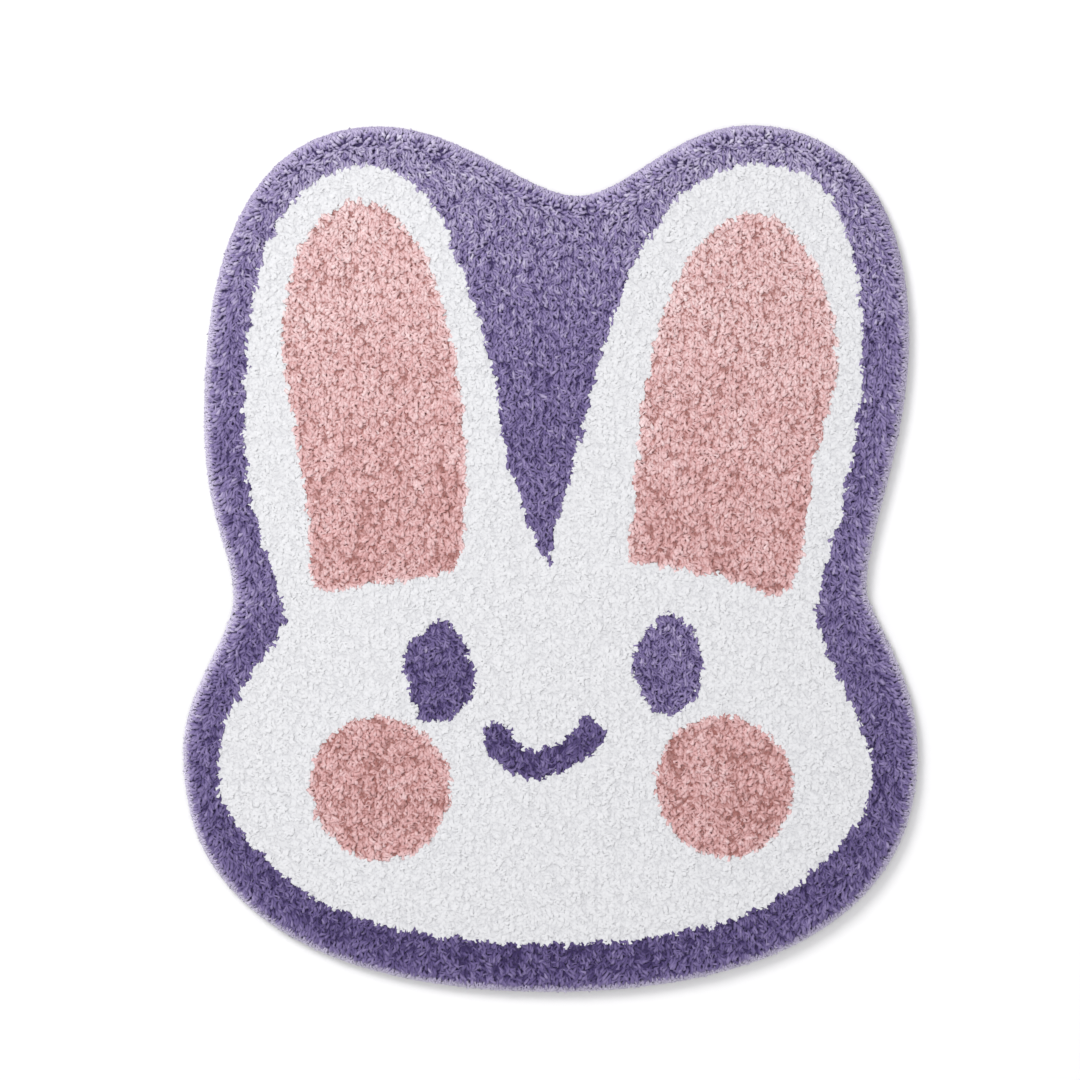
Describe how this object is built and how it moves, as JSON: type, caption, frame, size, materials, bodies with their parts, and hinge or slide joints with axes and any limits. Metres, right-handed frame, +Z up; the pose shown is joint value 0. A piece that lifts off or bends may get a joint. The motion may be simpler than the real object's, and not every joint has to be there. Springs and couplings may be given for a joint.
{
  "type": "rabbit shaped kids rug",
  "caption": "Flat cut-pile rug in the outline of a rabbit's head, violet ground with a white rabbit face and pink ears and cheeks.",
  "frame": {"origin": "middle of the outline's box, on the flat underside", "axes": "+X to the rabbit's right-hand side as seen from above, +Y from the chin towards the ears, +Z up out of the pile"},
  "size_m": [0.6, 0.708, 0.018],
  "materials": {
    "violet_pile": "dense cut pile, matt with a soft sheen",
    "white_pile": "dense cut pile, matt with a soft sheen",
    "pink_pile": "dense cut pile, matt with a soft sheen",
    "backing": "plain woven backing cloth, matt"
  },
  "bodies": {
    "root": {"rug": "violet_pile"}
  },
  "joints": []
}
